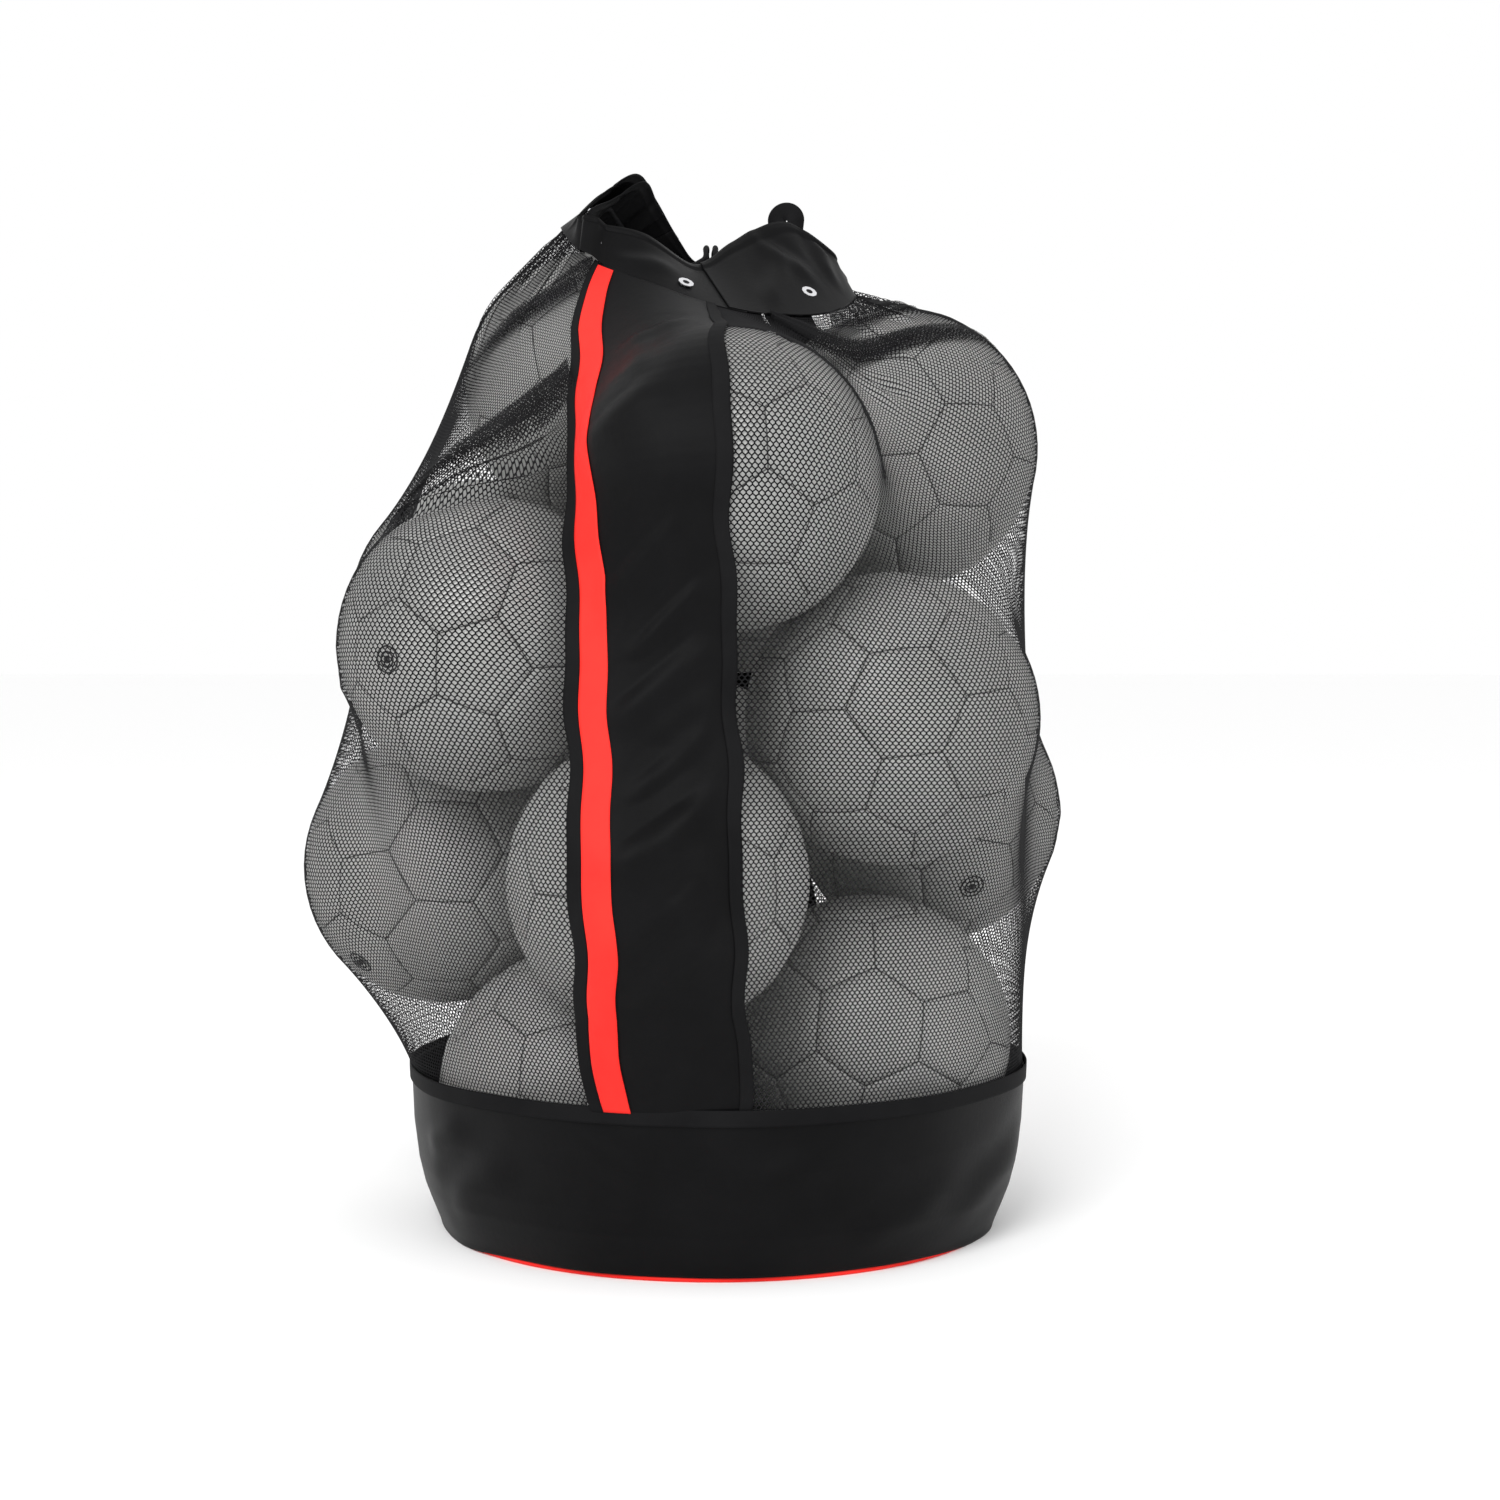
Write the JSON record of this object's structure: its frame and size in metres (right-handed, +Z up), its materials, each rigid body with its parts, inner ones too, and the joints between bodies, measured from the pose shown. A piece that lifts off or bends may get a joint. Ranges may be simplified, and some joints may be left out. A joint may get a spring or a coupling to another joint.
{
  "type": "mesh ball bag",
  "caption": "Tall netting ball bag with woven base, front and back panels, red ribbons, drawcord collar with cord lock, carrying strap, packed with footballs.",
  "frame": {"origin": "on the floor, under the middle of the bag's bounding box", "axes": "+Z up along the bag, -Y towards the front panel, +X to the right seen from the front"},
  "size_m": [0.6066, 0.5804, 0.8022],
  "materials": {
    "black_cloth": "matt woven polyester",
    "netting": "matt warp-knit mesh",
    "red_ribbon": "satin ribbon",
    "webbing": "matt webbing",
    "cord": "braided cord",
    "nickel": "polished nickel",
    "black_plastic": "moulded",
    "spring_steel": "bright wire",
    "ball_skin": "grained synthetic leather, satin"
  },
  "bodies": {
    "bag": {"base_disc": "black_cloth", "base_wall": "black_cloth", "front_panel": "black_cloth", "back_panel": "black_cloth", "collar_front": "black_cloth", "collar_back": "black_cloth", "net_left": "netting", "net_right": "netting", "base_piping": "red_ribbon", "front_ribbon": "red_ribbon", "back_ribbon": "red_ribbon", "base_seam_tape": "webbing", "front_left_binding": "webbing", "front_right_binding": "webbing", "back_left_binding": "webbing", "back_right_binding": "webbing", "shoulder_strap": "webbing", "drawcord": "cord", "cord_knot": "cord", "eyelet_1": "nickel", "eyelet_4": "nickel", "eyelet_8": "nickel", "ball_01": "ball_skin", "ball_02": "ball_skin", "ball_03": "ball_skin", "ball_04": "ball_skin", "ball_05": "ball_skin", "ball_06": "ball_skin", "ball_07": "ball_skin", "ball_08": "ball_skin", "ball_09": "ball_skin", "ball_10": "ball_skin", "ball_11": "ball_skin", "ball_12": "ball_skin", "ball_13": "ball_skin", "ball_14": "ball_skin"},
    "left_lobe": {"collar_left": "black_cloth", "eyelet_5": "nickel", "eyelet_6": "nickel", "eyelet_7": "nickel"},
    "right_lobe": {"collar_right": "black_cloth", "eyelet_2": "nickel", "eyelet_3": "nickel"},
    "hang_loop": {"hang_loop": "webbing"},
    "cord_lock": {"lock_body": "black_plastic", "lock_spring": "spring_steel"},
    "lock_button": {"lock_button": "black_plastic"},
    "strap_adjuster": {"strap_adjuster": "black_plastic"}
  },
  "joints": [
    {"name": "lock_slide", "type": "slide", "parent": "bag", "child": "cord_lock", "axis": [0.2487, 0.7709, -0.5864], "range_m": [0, 0.04]},
    {"name": "button_press", "type": "slide", "parent": "cord_lock", "child": "lock_button", "axis": [-0.9686, 0.1979, -0.1506], "range_m": [0, 0.003], "stiffness_N_per_m": 400, "springref_m": -0.002},
    {"name": "left_lobe_fold", "type": "hinge", "parent": "bag", "child": "left_lobe", "pos_m": [-0.0942, 0.0055, 0.76], "axis": [0, -1, 0], "range_deg": [0, 25]},
    {"name": "right_lobe_fold", "type": "hinge", "parent": "bag", "child": "right_lobe", "pos_m": [0.1278, 0.0005, 0.708], "axis": [0, 1, 0], "range_deg": [0, 25]},
    {"name": "loop_swing", "type": "hinge", "parent": "right_lobe", "child": "hang_loop", "pos_m": [0.0768, 0.0356, 0.746], "axis": [1, 0, 0], "range_deg": [-25, 25]},
    {"name": "adjuster_slide", "type": "slide", "parent": "bag", "child": "strap_adjuster", "axis": [0.3535, -0.1107, 0.9289], "range_m": [-0.02, 0.012]}
  ],
  "couplings": [
    {"joint": "left_lobe_fold", "follows": "lock_slide", "rad_per_m": 10.907},
    {"joint": "right_lobe_fold", "follows": "lock_slide", "rad_per_m": 10.907}
  ]
}
